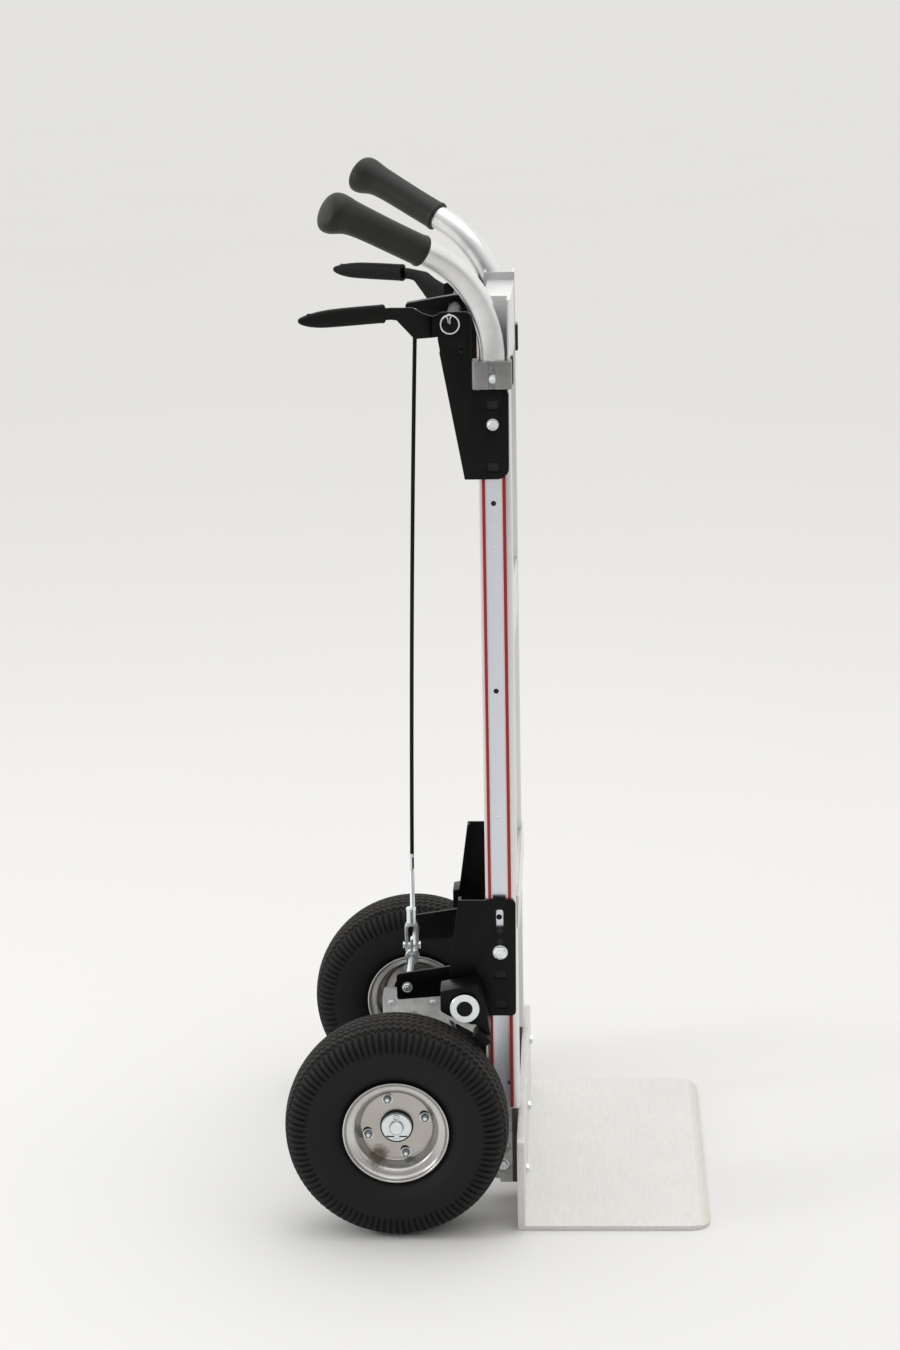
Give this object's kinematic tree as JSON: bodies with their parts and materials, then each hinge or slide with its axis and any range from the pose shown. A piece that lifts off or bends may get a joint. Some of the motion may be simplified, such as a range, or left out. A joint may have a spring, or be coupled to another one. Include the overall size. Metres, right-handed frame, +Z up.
{
  "type": "two-wheel hand truck",
  "caption": "Upright aluminium hand truck with pneumatic tyres, a flat nose plate, swept-back grips and squeeze levers that pull a rod to press brake shoes on the tyres.",
  "frame": {"origin": "on the floor, midway between the back of the tyres and the front edge of the nose plate, on the mirror plane", "axes": "+X forward over the nose plate, +Y to the left wheel, +Z up the rails"},
  "size_m": [0.494, 0.52, 1.2071],
  "materials": {
    "extrusion": "mill-finished extrusion with deep red pin stripes on its outer face",
    "casting": "tumbled die casting",
    "tube": "polished",
    "nose": "matt, scuffed",
    "plated": "bright zinc plate",
    "black_steel": "satin black powder coat",
    "tyre": "moulded black rubber",
    "grip": "textured black rubber",
    "shoe": "dense black friction rubber"
  },
  "bodies": {
    "frame": {"right_rail": "extrusion", "right_handle_tube": "tube", "right_handle_grip": "grip", "right_handle_collar": "casting", "right_axle_bracket": "casting", "right_upper_brake_bracket": "black_steel", "right_lower_brake_bracket": "black_steel", "right_upper_bracket_bolt": "plated", "right_lower_bracket_bolt": "plated", "right_axle_washer": "plated", "left_rail": "extrusion", "left_handle_tube": "tube", "left_handle_grip": "grip", "left_handle_collar": "casting", "left_axle_bracket": "casting", "left_upper_brake_bracket": "black_steel", "left_lower_brake_bracket": "black_steel", "left_upper_bracket_bolt": "plated", "left_lower_bracket_bolt": "plated", "left_axle_washer": "plated", "upper_cross_brace": "extrusion", "middle_cross_brace": "extrusion", "lower_cross_brace": "extrusion", "nose_plate": "nose", "axle": "plated"},
    "right_wheel": {"right_tyre": "tyre", "right_outer_rim": "plated", "right_inner_rim": "plated", "right_hub": "plated", "right_outer_bearing": "plated", "right_inner_bearing": "plated"},
    "left_wheel": {"left_tyre": "tyre", "left_outer_rim": "plated", "left_inner_rim": "plated", "left_hub": "plated", "left_outer_bearing": "plated", "left_inner_bearing": "plated"},
    "levers": {"lever_shaft": "plated", "centre_arm": "black_steel", "rod_pin": "plated", "right_brake_lever": "black_steel", "right_lever_grip": "grip", "left_brake_lever": "black_steel", "left_lever_grip": "grip"},
    "pull_rod": {"brake_rod": "black_steel", "rod_adjuster": "plated", "clevis": "plated", "clevis_pin": "plated", "pull_link": "plated"},
    "brake": {"brake_shaft": "black_steel", "cross_rod": "plated", "right_crank_arm": "black_steel", "right_shoe_arm": "black_steel", "right_brake_shoe": "shoe", "right_shaft_washer": "plated", "left_crank_arm": "black_steel", "left_shoe_arm": "black_steel", "left_brake_shoe": "shoe", "left_shaft_washer": "plated"}
  },
  "joints": [
    {"name": "right_wheel_spin", "type": "hinge", "parent": "frame", "child": "right_wheel", "pos_m": [-0.117, -0.216, 0.13], "axis": [0, 1, 0], "continuous": true},
    {"name": "left_wheel_spin", "type": "hinge", "parent": "frame", "child": "left_wheel", "pos_m": [-0.117, 0.216, 0.13], "axis": [0, 1, 0], "continuous": true},
    {"name": "lever_hinge", "type": "hinge", "parent": "frame", "child": "levers", "pos_m": [-0.0418, 0, 1.0514], "axis": [0, 1, 0], "range_deg": [0, 8.5]},
    {"name": "rod_hinge", "type": "hinge", "parent": "levers", "child": "pull_rod", "pos_m": [-0.0885, 0, 1.048], "axis": [0, 1, 0], "range_deg": [-8.5, 0]},
    {"name": "brake_hinge", "type": "hinge", "parent": "frame", "child": "brake", "pos_m": [-0.0366, 0, 0.267], "axis": [0, 1, 0], "range_deg": [0, 5.5]}
  ],
  "couplings": [
    {"joint": "rod_hinge", "follows": "lever_hinge", "ratio": -1},
    {"joint": "brake_hinge", "follows": "lever_hinge", "ratio": 0.647}
  ]
}
